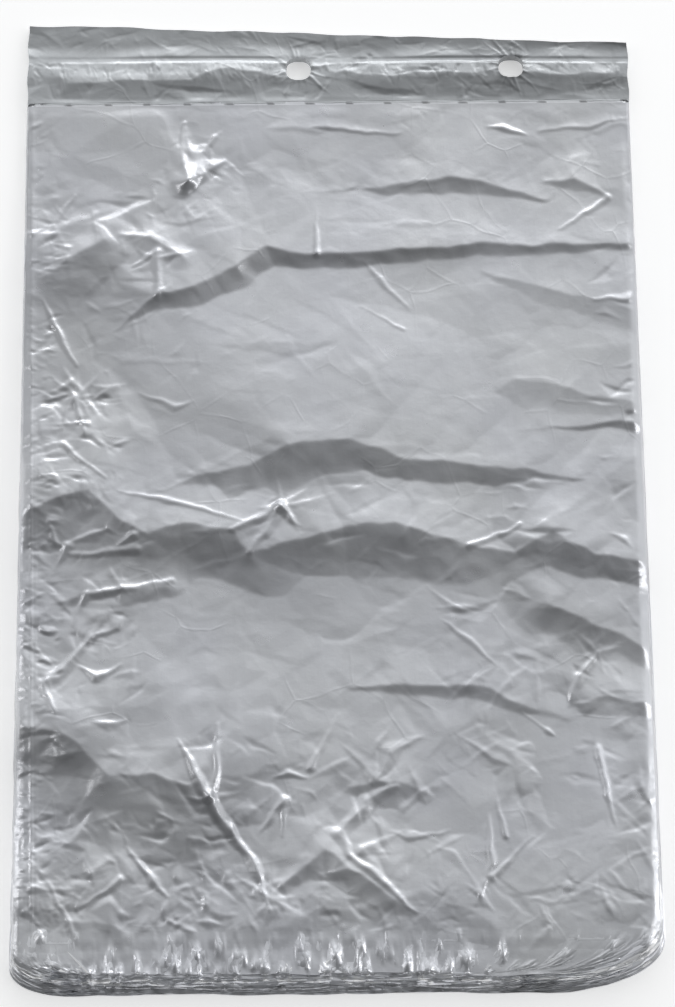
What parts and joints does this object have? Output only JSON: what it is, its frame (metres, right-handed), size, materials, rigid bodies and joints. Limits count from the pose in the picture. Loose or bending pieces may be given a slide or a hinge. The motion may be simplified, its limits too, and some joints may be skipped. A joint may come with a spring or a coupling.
{
  "type": "header-bound plastic bag pad",
  "caption": "Pad of clear plastic tear-off bags on a welded header with two punched hanging holes; the bags lift like leaves and the front one pulls off at its perforation.",
  "frame": {"origin": "midway between the two hanging holes, on the header's rear face", "axes": "+X to the right as the front bag is seen, +Y towards the header's top edge, +Z out of the front bag"},
  "size_m": [0.3085, 0.502, 0.0164],
  "materials": {
    "bag_film": "thin clear film, crinkled, with a silvery gloss",
    "header_film": "stacked clear film, darker, fused along the weld line"
  },
  "bodies": {
    "header": {"header_block": "header_film"},
    "rear_bags": {"bag_04": "bag_film", "bag_05": "bag_film", "bag_06": "bag_film", "bag_07": "bag_film", "bag_08": "bag_film", "bag_09": "bag_film", "bag_10": "bag_film", "bag_11": "bag_film", "bag_12": "bag_film", "bag_13": "bag_film", "bag_14": "bag_film", "bag_15": "bag_film", "bag_16": "bag_film", "bag_17": "bag_film", "bag_18": "bag_film", "bag_19": "bag_film", "bag_20": "bag_film", "bag_21": "bag_film", "bag_22": "bag_film", "bag_23": "bag_film", "bag_24": "bag_film", "bag_25": "bag_film", "bag_26": "bag_film", "bag_27": "bag_film", "bag_28": "bag_film", "bag_29": "bag_film", "bag_30": "bag_film", "bag_31": "bag_film", "bag_32": "bag_film", "bag_33": "bag_film", "bag_34": "bag_film", "bag_35": "bag_film", "bag_36": "bag_film", "bag_37": "bag_film", "bag_38": "bag_film", "bag_39": "bag_film", "bag_40": "bag_film", "bag_41": "bag_film", "bag_42": "bag_film", "bag_43": "bag_film", "bag_44": "bag_film", "bag_45": "bag_film", "bag_46": "bag_film", "bag_47": "bag_film", "bag_48": "bag_film", "bag_49": "bag_film", "bag_50": "bag_film"},
    "third_bag": {"bag_03": "bag_film"},
    "second_bag": {"bag_02": "bag_film"},
    "front_tear_strip": {"front_tear_strip": "header_film"},
    "front_bag": {"bag_01": "bag_film"}
  },
  "joints": [
    {"name": "rear_bags_lift", "type": "hinge", "parent": "header", "child": "rear_bags", "pos_m": [0, -0.0185, 0.0032], "axis": [-1, 0, 0], "range_deg": [0, 30]},
    {"name": "third_bag_lift", "type": "hinge", "parent": "rear_bags", "child": "third_bag", "pos_m": [0, -0.0185, 0.0047], "axis": [-1, 0, 0], "range_deg": [0, 25]},
    {"name": "second_bag_lift", "type": "hinge", "parent": "third_bag", "child": "second_bag", "pos_m": [0, -0.0185, 0.0048], "axis": [-1, 0, 0], "range_deg": [0, 35]},
    {"name": "front_bag_lift", "type": "hinge", "parent": "second_bag", "child": "front_tear_strip", "pos_m": [0, -0.0185, 0.0049], "axis": [-1, 0, 0], "range_deg": [0, 75]},
    {"name": "front_bag_tear_off", "type": "slide", "parent": "front_tear_strip", "child": "front_bag", "axis": [0, -0.866, 0.5], "range_m": [0, 0.08]}
  ]
}
